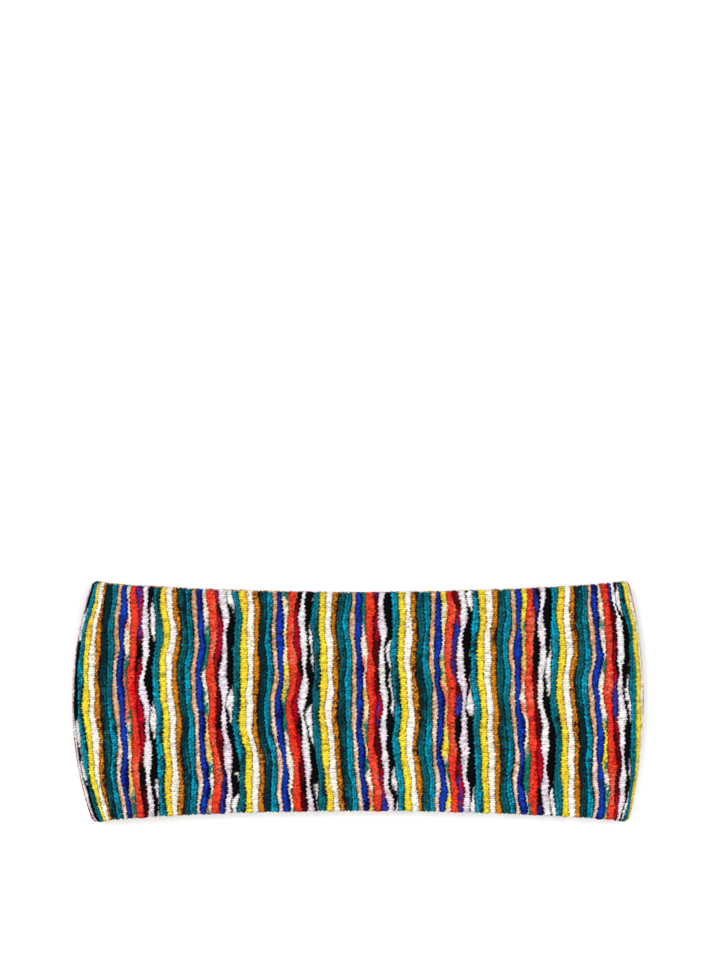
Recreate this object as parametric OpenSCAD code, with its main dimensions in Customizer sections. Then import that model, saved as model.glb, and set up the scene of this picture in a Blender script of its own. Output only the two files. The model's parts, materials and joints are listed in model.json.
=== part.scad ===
// Ribbed knit sports headband: a closed loop of lined knit, lying flat and gently open.
// X runs along the band, Y across it from rim to rim, and Z is up from the surface it lies on.

/* [Loop] */
// Width of the loop lying flat, over its two side folds
flat_w = 230; // [210:1:250]
// Height of the band from rim to rim at its middle
waist_h = 88; // [70:1:105]
// Extra height of the band at its side folds
flare = 9; // [0:0.5:14]
// Air gap between the two inner faces, where the head goes in
inner_gap = 6; // [5.6:0.1:9]

/* [Fabric] */
// Height of the knitted ribs
rib_t = 1.6; // [1.2:0.1:2]
// Thickness of the ground knit that carries the ribs
ground_t = 0.6; // [0.5:0.1:0.9]
// Thickness of the jersey lining
lining_t = 0.8; // [0.6:0.1:1]
// Width of the groove between two ribs
groove = 0.2; // [0.15:0.05:0.4]
// Radius of a rib's shoulders
rib_round = 0.7; // [0.4:0.1:0.8]

/* [Rims] */
// Width of the elastic tape inside each rim
elastic_w = 6; // [4:0.5:10]
// Thickness of the knit that turns over the rim
rim_wall = 0.8; // [0.6:0.1:1.2]
// Width of the thread line that holds each hem
thread_w = 0.8; // [0.4:0.1:1.2]
// Height that the thread stands proud of the lining
thread_t = 0.4; // [0.3:0.1:0.5]

/* [Back seam] */
// Width of each seam allowance
allowance_w = 6.5; // [4:0.5:9]
// Thickness of a seam allowance
allowance_t = 0.6; // [0.4:0.1:0.7]
// Number of stitches down the seam
seam_stitches = 26; // [12:1:34]
// Length of the care label along the band
label_l = 14; // [8:1:15]
// Width of the care label
label_w = 11; // [8:1:20]

/* [Hidden] */
// The loop bends at flex lines, so each layer is cut there into panels that turn on each other.
wall_t = rib_t + ground_t + lining_t;
total_t = 2 * wall_t + inner_gap;
hinge_in = 2.7;        // the fold's flex line, in from the outer faces
sheet_setback = 1;     // the panel's sheets stop this far before that line
rib_overrun = 0.7;     // and its ribs run this far past it
fold_setback = 0.8;    // the side strip starts this far beyond it
flex_gap = 0.25;       // between panels that turn on each other
clear = 0.1;           // round a layer inside another
tuck = 0.2;            // ribs sink this far into the ground knit
thread_gap = 0.5;      // a thread line stops this far before a flex line
label_t = 0.4;
round_fn = 32;

// Ribs from the middle of the loop to each flex line, and the half length that they fill.
RIBS_TO = [0, 10, 29, 48];
side_run = flat_w / 2 - hinge_in + rib_overrun;
rib_pitch = side_run / RIBS_TO[3];
rib_w = rib_pitch - groove;
fold_h = total_t - 2 * (hinge_in + fold_setback);
fold_ribs = 2;
hem_in = rim_wall + elastic_w + 2 * clear;

// Yarn colours in the order that they repeat along the band.
YARNS = [
    "darkcyan", "gold", "ivory", "peru", "darkslategray", "deepskyblue", "burlywood",
    "mediumblue", "khaki", "tomato", "maroon", "thistle", "black"
];

// Each panel of the wall: its name, its side of the loop (1 right, -1 left), whether it is the
// front, and its first and last flex line. The back centre panel spans both sides.
PANELS = [
    ["back_centre", 0, false, 0, 1],
    ["back_right", 1, false, 1, 2],
    ["back_far_right", 1, false, 2, 3],
    ["front_far_right", 1, true, 2, 3],
    ["front_right", 1, true, 1, 2],
    ["front_centre_right", 1, true, 0, 1],
    ["back_left", -1, false, 1, 2],
    ["back_far_left", -1, false, 2, 3],
    ["front_far_left", -1, true, 2, 3],
    ["front_left", -1, true, 1, 2],
    ["front_centre_left", -1, true, 0, 1]
];
FOLDS = [["right_fold", 1], ["left_fold", -1]];
LAYERS = ["outer_knit_", "lining_", "rim_elastic_", "hem_thread_"];

// Half the band's height at x, which grows from the waist to the folds.
function half_h(x) = waist_h / 2 + flare / 2 * pow(2 * x / flat_w, 2);

// A rim is a list of [x, half height] points from a panel's first end to its last.
function rim_of(x0, x1) = [for (x = x0 < 0 ? [x0, 0, x1] : [x0, x1]) [x, half_h(x)]];

// The same rim with its two ends moved in.
function trim(rim, first, last) =
    let (x0 = rim[0].x + first, x1 = rim[len(rim) - 1].x - last)
    [
        [x0, lookup(x0, rim)],
        for (p = rim) if (p.x > x0 && p.x < x1) p,
        [x1, lookup(x1, rim)]
    ];

// The rim of a wall panel between two flex lines; the centre one spans both sides.
function panel_rim(p) =
    let (x1 = RIBS_TO[p[4]] * rib_pitch)
    p[1] == 0 ? rim_of(-x1, x1) : rim_of(RIBS_TO[p[3]] * rib_pitch, x1);

// How far a panel's sheets stop short of its last flex line.
function end_gap(p) = p[4] == 3 ? rib_overrun + sheet_setback : flex_gap / 2;

function sheet_rim(p) = trim(panel_rim(p), flex_gap / 2, end_gap(p));

fold_rim = [[-fold_h / 2, half_h(flat_w / 2)], [fold_h / 2, half_h(flat_w / 2)]];

// A flat sheet between two heights, in from both rims by the same amount.
module sheet(rim, inset, z0, z1) {
    upper = [for (p = rim) [p.x, p.y - inset]];
    lower = [for (i = [len(rim) - 1:-1:0]) [rim[i].x, inset - rim[i].y]];
    translate([0, 0, z0]) linear_extrude(z1 - z0) polygon(concat(upper, lower));
}

// A strip along each rim, from one distance in to another.
module rim_strips(rim, from, to, z0, z1) {
    difference() {
        sheet(rim, from, z0, z1);
        sheet(trim(rim, -1, -1), to, z0 - 1, z1 + 1);
    }
}

// The section of a rib: a flat crest down, round shoulders, and its root in the ground knit.
module rib_section() {
    translate([-rib_w / 2, rib_round]) square([rib_w, rib_t + tuck - rib_round]);
    translate([rib_round - rib_w / 2, 0]) square([rib_w - 2 * rib_round, rib_round + tuck]);
    for (side = [-1, 1])
        translate([side * (rib_w / 2 - rib_round), rib_round]) circle(rib_round, $fn = round_fn);
}

// Ribs side by side from x, each as long as the band is high there.
module ribs(rim, x, count, first) {
    for (i = [0:count - 1]) {
        at = x + (i + 0.5) * rib_pitch;
        color(YARNS[(first + i) % len(YARNS)])
            translate([at, 0, 0]) rotate([90, 0, 0])
                linear_extrude(2 * lookup(at, rim), center = true) rib_section();
    }
}

// The outer knit of one panel: its ribs, the ground knit behind them and both turned rims.
module outer_wall(rib_rim, rim, x, count, first) {
    ribs(rib_rim, x, count, first);
    color("dimgray") sheet(rim, hem_in, rib_t, rib_t + ground_t);
    color("dimgray") rim_strips(rim, 0, rim_wall, rib_t, wall_t);
}

module lining_wall(rim) {
    color("darkslategray") sheet(rim, rim_wall + clear, rib_t + ground_t, wall_t);
}

module elastic_wall(rim) {
    color("white") rim_strips(rim, rim_wall + clear, hem_in - clear, rib_t + tuck, rib_t + ground_t);
}

module thread_wall(rim) {
    color("black") rim_strips(rim, hem_in, hem_in + thread_w, wall_t, wall_t + thread_t);
}

// Puts a panel made on the floor, right of the middle, at its own side and face of the loop.
module place(p) {
    mirror([p[1] < 0 ? 1 : 0, 0, 0])
        translate([0, 0, p[2] ? total_t : 0]) mirror([0, 0, p[2] ? 1 : 0]) children();
}

// Stands a strip made on the floor upright at a side fold.
module stand(side) {
    mirror([side < 0 ? 1 : 0, 0, 0])
        translate([flat_w / 2, 0, total_t / 2]) rotate([0, -90, 0]) children();
}

module outer_knit(p) {
    first = p[1] == 0 ? -RIBS_TO[p[4]] : RIBS_TO[p[3]];
    colour_at = p[2] ? RIBS_TO[3] : RIBS_TO[p[4]];
    place(p) outer_wall(panel_rim(p), sheet_rim(p), first * rib_pitch, RIBS_TO[p[4]] - first,
        first + colour_at);
}

module lining(p) { place(p) lining_wall(sheet_rim(p)); }

module rim_elastic(p) { place(p) elastic_wall(sheet_rim(p)); }

module hem_thread(p) { place(p) thread_wall(trim(sheet_rim(p), thread_gap, thread_gap)); }

module fold_knit(side) {
    stand(side) outer_wall(fold_rim, fold_rim, -fold_ribs * rib_pitch / 2, fold_ribs, RIBS_TO[1]);
}

module fold_lining(side) { stand(side) lining_wall(fold_rim); }

module fold_elastic(side) { stand(side) elastic_wall(fold_rim); }

module fold_thread(side) { stand(side) thread_wall(trim(fold_rim, thread_gap, thread_gap)); }

// The two ends of the knitted strip, pressed open along the inside of the back.
seam_half = waist_h / 2 - hem_in - thread_w - clear;
module seam_allowance() {
    color("dimgray") for (side = [0, 1])
        mirror([side, 0, 0]) translate([flex_gap, -seam_half, wall_t])
            cube([allowance_w, 2 * seam_half, allowance_t]);
}

// Overcast stitches that cross the seam and hold both allowances down.
stitch_l = 3.2;
stitch_w = 0.6;
stitch_t = 0.3;
module seam_thread() {
    step = 2 * seam_half / seam_stitches;
    color("black") for (i = [0:seam_stitches - 1])
        translate([-stitch_l / 2, -seam_half + (i + 0.5) * step - stitch_w / 2, wall_t + allowance_t])
            cube([stitch_l, stitch_w, stitch_t]);
}

// A blank folded label whose edge meets the seam allowance near the upper rim.
label_x = flex_gap + allowance_w;
label_y = seam_half - label_w - 2;
module care_label() {
    color("white") translate([label_x, label_y, wall_t]) cube([label_l, label_w, label_t]);
}

module label_stitches() {
    color("gray") for (edge = [0, 1])
        translate([label_x + 1, label_y + 0.6 + edge * (label_w - 1.2 - stitch_w), wall_t + label_t])
            cube([label_l - 2, stitch_w, stitch_t]);
}

for (p = PANELS) {
    outer_knit(p);
    lining(p);
    rim_elastic(p);
    hem_thread(p);
}
for (f = FOLDS) {
    fold_knit(f[1]);
    fold_lining(f[1]);
    fold_elastic(f[1]);
    fold_thread(f[1]);
}
seam_allowance();
seam_thread();
care_label();
label_stitches();
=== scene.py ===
# %% [markdown]
# # A wide ribbed knit headband
#
# The headband is one closed loop of thick looped ribs in thirteen yarns. A thin ground knit carries the
# ribs, plain jersey lines the inside, and both rims turn over a flat elastic tape. It lies flat on a
# table and opens to a round loop. The imported model gives its size, its flex lines and the bodies that
# each length of fabric replaces, and every piece here is made around those.

# %% Load the imported model
import json
import math
from collections import namedtuple

import bmesh
import bpy
import numpy as np
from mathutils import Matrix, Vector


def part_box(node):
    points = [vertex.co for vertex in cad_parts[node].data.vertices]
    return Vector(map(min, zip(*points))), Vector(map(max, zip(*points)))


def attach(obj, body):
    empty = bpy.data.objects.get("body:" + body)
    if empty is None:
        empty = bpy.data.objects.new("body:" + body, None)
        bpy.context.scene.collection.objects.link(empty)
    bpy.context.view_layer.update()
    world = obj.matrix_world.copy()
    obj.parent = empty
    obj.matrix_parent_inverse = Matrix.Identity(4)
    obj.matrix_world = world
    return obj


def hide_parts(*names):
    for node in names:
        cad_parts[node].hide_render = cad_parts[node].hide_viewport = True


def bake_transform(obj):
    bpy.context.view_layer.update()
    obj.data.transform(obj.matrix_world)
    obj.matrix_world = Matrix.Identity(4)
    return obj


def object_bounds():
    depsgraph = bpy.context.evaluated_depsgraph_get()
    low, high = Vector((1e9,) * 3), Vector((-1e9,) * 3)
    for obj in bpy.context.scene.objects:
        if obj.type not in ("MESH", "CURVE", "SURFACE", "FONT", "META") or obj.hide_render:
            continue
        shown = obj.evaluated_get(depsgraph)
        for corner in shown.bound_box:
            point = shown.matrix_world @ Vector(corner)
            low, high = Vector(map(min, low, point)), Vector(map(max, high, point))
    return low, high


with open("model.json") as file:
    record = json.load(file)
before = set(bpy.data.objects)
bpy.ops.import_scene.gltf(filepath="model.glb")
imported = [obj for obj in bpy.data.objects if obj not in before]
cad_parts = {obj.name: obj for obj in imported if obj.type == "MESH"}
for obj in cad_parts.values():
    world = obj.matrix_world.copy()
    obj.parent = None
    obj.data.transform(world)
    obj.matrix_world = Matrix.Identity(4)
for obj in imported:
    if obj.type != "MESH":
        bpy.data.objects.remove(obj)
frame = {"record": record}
cad_low, cad_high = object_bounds()
MM = 0.001
print("packed model in mm:", [round((b - a) / MM, 1) for a, b in zip(cad_low, cad_high)])

# %% [markdown]
# ## Floor, camera and light
#
# A band this colourful is shown best on a plain white table under soft light. The camera looks straight
# down through a long lens, so that the band keeps its true outline. Three large lamps stand high round the
# band, the brightest at the upper left, and a pale world fills in. The ribs keep a little light and shade
# each, and the band throws hardly any shadow.

# %% Place the camera
VIEW_LENGTH = 0.3845          # metres of table that the long side of the view takes in
LENS = 200
SENSOR = 36
VIEW_AT = (0.0009, 0.0889)    # the point of the table in the middle of the view

camera_data = bpy.data.cameras.new("camera")
camera_data.lens = LENS
camera_data.sensor_width = SENSOR
camera = bpy.data.objects.new("camera", camera_data)
camera.location = (*VIEW_AT, cad_high.z + VIEW_LENGTH * LENS / SENSOR)
bpy.context.collection.objects.link(camera)
bpy.context.scene.camera = camera
bpy.context.scene.view_settings.view_transform = "Standard"
print("camera is", round(camera.location.z, 3), "m above the table")

# %% Light the table


def soft_light(name, place, size, power):
    """A square lamp that faces the band."""
    data = bpy.data.lights.new(name, "AREA")
    data.size = size
    data.energy = power
    lamp = bpy.data.objects.new(name, data)
    lamp.location = place
    towards = -lamp.location.normalized()
    lamp.rotation_euler = towards.to_track_quat("-Z", "Y").to_euler()
    bpy.context.collection.objects.link(lamp)
    return lamp


ROOM_LIGHT = 0.4
soft_light("key_light", (-0.75, 0.5, 1.25), 1.0, 18)
soft_light("right_light", (0.9, 0.1, 1.15), 1.0, 11)
soft_light("near_light", (0.1, -0.9, 1.2), 1.0, 10)
world = bpy.data.worlds.new("pale_room")
world.use_nodes = True
world.node_tree.nodes["Background"].inputs["Color"].default_value = (1, 1, 1, 1)
world.node_tree.nodes["Background"].inputs["Strength"].default_value = ROOM_LIGHT
bpy.context.scene.world = world
print("three soft lamps and a pale world")

# %% [markdown]
# ## Writing finishes as sums
#
# Yarn and knit finishes are patterns, and patterns are arithmetic. A `Wire` stands for a node's output
# and understands + - and *, so that a pattern can be written as a formula. A `Finish` holds one material
# and makes every other node from its type, its settings and what goes into its sockets.

# %% A wire that does arithmetic


class Wire:
    """A node's output. An expression on wires adds the Math nodes for it."""

    def __init__(self, finish, socket):
        self.finish = finish
        self.socket = socket

    def math(self, operation, *values):
        return self.finish.node("ShaderNodeMath", {"operation": operation}, dict(enumerate(values)))

    def out(self, name):
        """Another output of the same node."""
        return Wire(self.finish, self.socket.node.outputs[name])

    def __add__(self, other):
        return self.math("ADD", self, other)

    def __radd__(self, other):
        return self.math("ADD", other, self)

    def __sub__(self, other):
        return self.math("SUBTRACT", self, other)

    def __rsub__(self, other):
        return self.math("SUBTRACT", other, self)

    def __mul__(self, other):
        return self.math("MULTIPLY", self, other)

    def __rmul__(self, other):
        return self.math("MULTIPLY", other, self)

    def sine(self):
        """A wave from 0 to 1 that repeats whenever this value grows by one."""
        return 0.5 + 0.5 * self.math("SINE", self * math.tau)

    def size(self):
        """This value without its sign."""
        return self.math("ABSOLUTE", self)

    def part(self):
        """The fraction of this value, from 0 to 1."""
        return self.math("FRACT", self)


print("wires can be added, subtracted and multiplied")

# %% A finish and its nodes


class Finish:
    """One node material, built up from its shader."""

    def __init__(self, name, **sockets):
        self.material = bpy.data.materials.new(name)
        self.material.use_nodes = True
        self.tree = self.material.node_tree
        self.shader = self.tree.nodes["Principled BSDF"]
        for socket, value in sockets.items():
            self.shader.inputs[socket.replace("_", " ")].default_value = value

    def feed(self, socket, value):
        """Links a wire to a socket, or sets it to a plain number or colour."""
        if isinstance(value, Wire):
            self.tree.links.new(value.socket, socket)
        else:
            socket.default_value = value

    def node(self, kind, settings, sockets, output=0):
        made = self.tree.nodes.new(kind)
        for name, value in settings.items():
            setattr(made, name, value)
        for name, value in sockets.items():
            self.feed(made.inputs[name], value)
        return Wire(self, made.outputs[output])

    def given(self, name, output="Vector"):
        """A value that the mesh carries at each point."""
        return self.node("ShaderNodeAttribute", {"attribute_name": name}, {}, output)

    def across_and_along(self, name):
        """The first two numbers of a vector that the mesh carries."""
        x = self.node("ShaderNodeSeparateXYZ", {}, {"Vector": self.given(name)})
        return x, x.out("Y")

    def noise(self, name, scale, detail=2):
        """Soft noise laid out by a vector that the mesh carries, scaled along each of its axes."""
        sockets = {0: self.given(name), 1: scale}
        stretched = self.node("ShaderNodeVectorMath", {"operation": "MULTIPLY"}, sockets)
        sockets = {"Vector": stretched, "Scale": 1, "Detail": detail}
        return self.node("ShaderNodeTexNoise", {}, sockets, "Fac")

    def ramp(self, value, low, high):
        """0 below low, 1 above high, and a smooth rise between."""
        limits = {"Value": value, "From Min": low, "From Max": high}
        return self.node("ShaderNodeMapRange", {"interpolation_type": "SMOOTHSTEP"}, limits)

    def mix(self, share, first, second, way="MIX"):
        """Two colours together; a wire that is a number counts as grey."""
        settings = {"data_type": "RGBA", "blend_type": way}
        return self.node("ShaderNodeMix", settings, {0: share, 6: first, 7: second}, 2)

    def finish_with(self, colour, roughness, relief, height):
        """Feeds the shader: its colour, its roughness and a relief of that height in metres."""
        self.feed(self.shader.inputs["Base Color"], colour)
        self.feed(self.shader.inputs["Roughness"], roughness)
        bump = self.node("ShaderNodeBump", {}, {"Distance": height, "Height": relief}, "Normal")
        self.feed(self.shader.inputs["Normal"], bump)
        return self.material


print("a finish adds a node for every step of its formulas")

# %% [markdown]
# ## The table
#
# A white laminate top: almost no pattern, a faint unevenness in its gloss.

# %% Make the table
top = Finish("white_table", Specular_IOR_Level=0.2)
grain = top.node("ShaderNodeTexNoise", {}, {"Scale": 9, "Detail": 3}, "Fac")
top_colour = top.mix(grain, (0.93, 0.93, 0.93, 1), (0.95, 0.95, 0.95, 1))
top_finish = top.finish_with(top_colour, 0.6 + 0.1 * grain, grain, 0.00002)
TABLE_HALF = 2.5
table_mesh = bpy.data.meshes.new("table")
corners = [(x * TABLE_HALF, y * TABLE_HALF, 0) for x, y in ((-1, -1), (1, -1), (1, 1), (-1, 1))]
table_mesh.from_pydata(corners, [], [(0, 1, 2, 3)])
table_mesh.materials.append(top_finish)
table = bpy.data.objects.new("table", table_mesh)
bpy.context.collection.objects.link(table)
print("table", 2 * TABLE_HALF, "m square")

# %% [markdown]
# ## The shape of the loop
#
# The fabric is easiest to think of as a strip. A place on it is `g`, the way along the loop from the
# front centre, `y`, the way across from rim to rim, and `depth`, the way in from the outer face.
# `on_loop` lays that strip out as it lies on the table: flat in front, round the side folds and flat
# behind. The elastic draws the rims in, so the folds bow outward in the middle, and the band is lower
# at its waist than at its folds.

# %% Sizes of the loop, in millimetres
HALF_W = cad_high.x / MM
THICK = cad_high.z / MM
FOLD_R = THICK / 2
FLAT = HALF_W - FOLD_R
HALF_LOOP = 2 * FLAT + math.pi * FOLD_R
APEX = HALF_LOOP / 2
WAIST_H = 44
FLARE = cad_high.y / MM - WAIST_H
END_H = WAIST_H + FLARE
RIM_PULL = {1: 6.0, -1: 8.2}     # how far the rims draw the right and the left fold in
BOW_FADE = 3                     # the bow of the folds dies away towards the middle with this power


def half_height(g):
    """Half the band's height at a place along the loop."""
    b = np.abs(g)
    arc = np.clip((b - FLAT) / FOLD_R, 0, math.pi)
    x = np.minimum(b, HALF_LOOP - b)
    x = np.where((arc > 0) & (arc < math.pi), FLAT + FOLD_R * np.sin(arc), x)
    return WAIST_H + FLARE * (x / HALF_W) ** 2


def on_loop(g, y, depth):
    """The point in space of a place on the strip."""
    b = np.abs(g)
    arc = np.clip((b - FLAT) / FOLD_R, 0, math.pi)
    run = np.minimum(1, np.minimum(b, HALF_LOOP - b) / FLAT)
    drawn_in = np.where(g < 0, RIM_PULL[-1], RIM_PULL[1]) * (y / END_H) ** 2
    x = run * FLAT - drawn_in * run**BOW_FADE + (FOLD_R - depth) * np.sin(arc)
    z = FOLD_R + (FOLD_R - depth) * np.cos(arc)
    return np.stack(np.broadcast_arrays(np.where(g < 0, -x, x), y, z), -1)


print("loop is", round(2 * HALF_LOOP, 1), "mm round and", 2 * WAIST_H, "to", round(2 * END_H, 1), "mm high")

# %% [markdown]
# ## Lengths that bend
#
# When the loop opens, the fabric bends over twelve flex lines. Each piece may follow two bodies, so
# every layer is made in lengths that each cross one flex line and end where the fabric stays straight.
# The side folds bend most. There a length is split at half height as well, because the place where it
# starts to bend leans with the drawn-in rims.

# %% List the lengths
hinge_x = {j["name"]: abs(j["pos_m"][0]) / MM for j in frame["record"]["behaviour"]["joints"]}
inner_flex = hinge_x["flex_front_right"]
outer_flex = hinge_x["flex_front_far_right"]
FIRST_BORDER = (inner_flex + outer_flex) / 2
SECOND_BORDER = (outer_flex + hinge_x["right_fold_upper"]) / 2
Length = namedtuple("Length", "name side start stop half bodies top")


def lengths_of(side, hand):
    """The eight lengths of one side of the loop, from the front centre round to the back seam."""
    far_front = (f"front_far_{hand}", f"{hand}_fold")
    far_back = (f"back_far_{hand}", f"{hand}_fold")
    rows = [
        ("front_centre", 0, FIRST_BORDER, 0, (f"front_centre_{hand}", f"front_{hand}"), True),
        ("front_side", FIRST_BORDER, SECOND_BORDER, 0, (f"front_{hand}", f"front_far_{hand}"), True),
        ("front_fold_upper", SECOND_BORDER, APEX, 1, far_front, True),
        ("front_fold_lower", SECOND_BORDER, APEX, -1, far_front, True),
        ("back_fold_upper", APEX, HALF_LOOP - SECOND_BORDER, 1, far_back, False),
        ("back_fold_lower", APEX, HALF_LOOP - SECOND_BORDER, -1, far_back, False),
        ("back_side", HALF_LOOP - SECOND_BORDER, HALF_LOOP - FIRST_BORDER, 0,
         (f"back_{hand}", f"back_far_{hand}"), False),
        ("back_centre", HALF_LOOP - FIRST_BORDER, HALF_LOOP, 0, ("back_centre", f"back_{hand}"), False),
    ]
    return [Length(f"{name}_{hand}", side, *row) for name, *row in rows]


LENGTHS = lengths_of(1, "right") + lengths_of(-1, "left")
print(len(LENGTHS), "lengths of fabric")

# %% Work out a length's bend, and hide the solids it replaces
FLEX_REACH = 18        # a flex line's bend spreads this far to either side, in mm
OUTER_FOLD = (20, HALF_W + FOLD_R - 0.8)     # how far the fold's bend spreads, and where it is complete
INNER_FOLD = (17, HALF_W + FOLD_R - 3)       # the lining starts with the outer knit and leads it


def bend(piece, length, fold=OUTER_FOLD):
    """Works out where a length's bend starts and ends, and bakes the piece's placing into its mesh."""
    if length.half:
        spread, complete = fold
        rim_lean = RIM_PULL[length.side] / END_H
        along = np.array([length.side, length.half * rim_lean, -1 if length.top else 1]) / spread
        before = (complete - spread - (THICK if length.top else 0)) / spread
        start = along * before / (along @ along)
        end = start + along / (along @ along)
    else:
        middle = inner_flex if "centre" in length.name else outer_flex
        start = np.array([length.side * (middle - FLEX_REACH), 0, 0])
        end = np.array([length.side * (middle + FLEX_REACH), 0, 0])
    tuple(start * MM)
    tuple(end * MM)
    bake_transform(piece)


def stand_for(length, layer):
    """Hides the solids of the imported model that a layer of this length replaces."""
    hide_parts(*(layer + body for body in length.bodies))


print("a flex line bends the fabric over", 2 * FLEX_REACH, "mm")

# %% [markdown]
# ## Making closed meshes
#
# Everything on a headband is a strip, a cord or a thread, so two ways of making a mesh are enough. A
# tube joins ring after ring of points and closes both ends. A slab is a tube too: each of its rings
# goes out along one face and back along the other.

# %% Tubes and slabs


def tube_faces(rings, ring, cap):
    """Faces that join rings of points, with the same cap on the first and the last ring."""
    row = np.arange(rings - 1)[:, None] * ring
    here = np.arange(ring)
    there = (here + 1) % ring
    quads = np.stack([row + here, row + there, row + there + ring, row + here + ring], -1)
    last = (rings - 1) * ring
    caps = [list(face) for face in cap] + [[i + last for i in face] for face in cap]
    return quads.reshape(-1, 4).tolist() + caps


def slab_cap(rows):
    """The end of a slab, as one quad between each pair of points across its thickness."""
    last = 2 * rows - 1
    return [(i, i + 1, last - i - 1, last - i) for i in range(rows - 1)]


def make_piece(name, points, faces, finish, **carried):
    """A smooth piece from points in millimetres, with colours or vectors that its points carry."""
    mesh = bpy.data.meshes.new(name)
    mesh.from_pydata((points.reshape(-1, 3) * MM).tolist(), [], faces)
    shape = bmesh.new()
    shape.from_mesh(mesh)
    bmesh.ops.recalc_face_normals(shape, faces=shape.faces)
    for face in shape.faces:
        face.smooth = len(face.verts) == 4
    shape.to_mesh(mesh)
    shape.free()
    for label, values in carried.items():
        kind, field = ("FLOAT_COLOR", "color") if values.shape[-1] == 4 else ("FLOAT_VECTOR", "vector")
        mesh.attributes.new(label, kind, "POINT").data.foreach_set(field, values.astype(np.float32).ravel())
    mesh.materials.append(finish)
    piece = bpy.data.objects.new(name, mesh)
    bpy.context.collection.objects.link(piece)
    return piece


def slab_piece(name, outer, inner, finish, knit):
    """A closed sheet between two grids of points that run along the loop and across it."""
    rings = np.concatenate([outer, inner[:, ::-1]], 1)
    carried = np.concatenate([knit, knit[:, ::-1]], 1)
    faces = tube_faces(rings.shape[0], rings.shape[1], slab_cap(outer.shape[1]))
    return make_piece(name, rings, faces, finish, knit=carried)


def flat_length(length, depth):
    """How long a layer at that depth is on a length. Round a fold, an inner layer is shorter."""
    round_fold = max(0, min(length.stop, HALF_LOOP - FLAT) - max(length.start, FLAT))
    return length.stop - length.start - round_fold * depth / FOLD_R


def strip_length(depth):
    """How long a whole layer at that depth is."""
    return sum(flat_length(length, depth) for length in LENGTHS if length.half >= 0)


def tidy_range(length, step):
    """Places along the loop from one end of a length to the other, about a step apart."""
    count = max(2, round((length.stop - length.start) / step) + 1)
    return length.side * np.linspace(length.start, length.stop, count)


print("a tube of 3 rings of 6 points has", len(tube_faces(3, 6, [range(6)])), "faces")

# %% [markdown]
# ## How the fabric turns over at the rims
#
# From the middle of the band to the end of the hem, the fabric runs straight up the outer face, turns
# round the elastic and comes back down inside. `Turn` gives that path as a place across the band, a
# depth, and the direction that the ribs stand up in.

# %% The path from the middle to the hem
FACE_DEPTH = 1.55      # the ground knit's outer face
TURN_R = 0.75          # of the ground knit over the rim
RIB_H = 1.45
HEM_RIB = 0.62         # the ribs are flatter inside the hem
HEM_L = 5.9
TIP = TURN_R + RIB_H * (1 + HEM_RIB) / 2
GROUND_T = 0.35
Turn = namedtuple("Turn", "face angle hem sign")


def turned_path(face_rows, turn_rows, hem_rows, low, high):
    """Rows across the band. low and high say whether it runs to the lower and the upper hem."""
    face = np.concatenate([np.linspace(0, 1, face_rows + 1), np.ones(turn_rows + hem_rows)])
    turn = np.arange(1, turn_rows + 1) * math.pi / turn_rows
    angle = np.concatenate([np.zeros(face_rows + 1), turn, np.full(hem_rows, math.pi)])
    hem = np.concatenate([np.zeros(face_rows + 1 + turn_rows), np.arange(1, hem_rows + 1) / hem_rows])
    upper = np.stack([face, angle, hem, np.ones_like(face)])
    lower = upper[:, :0:-1] * np.array([[1], [1], [1], [-1]])
    halves = ([lower] if low else []) + ([upper] if high else [upper[:, :1]])
    return Turn(*np.concatenate(halves, 1))


def across_band(path, g, height):
    """Where the path lies at g, at a height above the ground knit's outer face: y and depth."""
    reach = half_height(g) - TIP
    y = path.face * reach + TURN_R * np.sin(path.angle) - path.hem * HEM_L
    depth = FACE_DEPTH + TURN_R * (1 - np.cos(path.angle))
    return path.sign * (y + np.sin(path.angle) * height), depth - np.cos(path.angle) * height


print("the turn at a rim is", round(math.pi * TURN_R, 2), "mm round and the hem", HEM_L, "mm deep")

# %% [markdown]
# ## Thirteen yarns
#
# Each rib is wound from one yarn, and the thirteen yarns repeat along the band. They take their dye in
# lengths: a yarn changes between its own tones every few centimetres, and two tones often run side by
# side in one rib with a ragged line between them. A yarn here has a width, its main tones and the partner
# tones that lie on its other side. `share`, `sway` and `lean` place the line between them and say how far
# it wanders. `run` is how many millimetres one tone lasts, `mixing` how raggedly it ends, and `flecks` how
# much of it is flecked. The next number is how dark the shade painted into its grooves is, and `left` and
# `right` are how deep those grooves are, from 0 to 1: yellow, ivory and amber touch with hardly a groove.

# %% Dye the yarns


def dye(red, green, blue):
    """A tone as a mixer would read it off a colour card, made linear for the shader."""
    return [(value / 255) ** 2.2 for value in (red, green, blue)]


TEAL, CYAN, DEEP_TEAL, SEA = dye(12, 122, 138), dye(0, 172, 206), dye(2, 54, 64), dye(18, 108, 118)
YELLOW, GOLD, IVORY, CREAM = dye(246, 216, 52), dye(238, 190, 56), dye(252, 244, 230), dye(246, 230, 206)
AMBER, BROWN, TAN, BLUSH = dye(216, 130, 26), dye(76, 30, 8), dye(214, 154, 108), dye(240, 214, 204)
BLUE, NAVY, GREEN, PEACH = dye(18, 62, 184), dye(8, 14, 92), dye(18, 118, 100), dye(242, 196, 110)
CORAL, RED, SCARLET, CRIMSON = dye(230, 112, 84), dye(238, 62, 40), dye(206, 24, 28), dye(176, 8, 40)
MAROON, BLACK, INDIGO, LILAC = dye(84, 6, 22), dye(4, 3, 3), dye(40, 52, 150), dye(235, 219, 230)
WHITE = dye(240, 238, 236)

# A yarn's last three numbers are the shade painted into its grooves and the depth of its left and right
# grooves.
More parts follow.
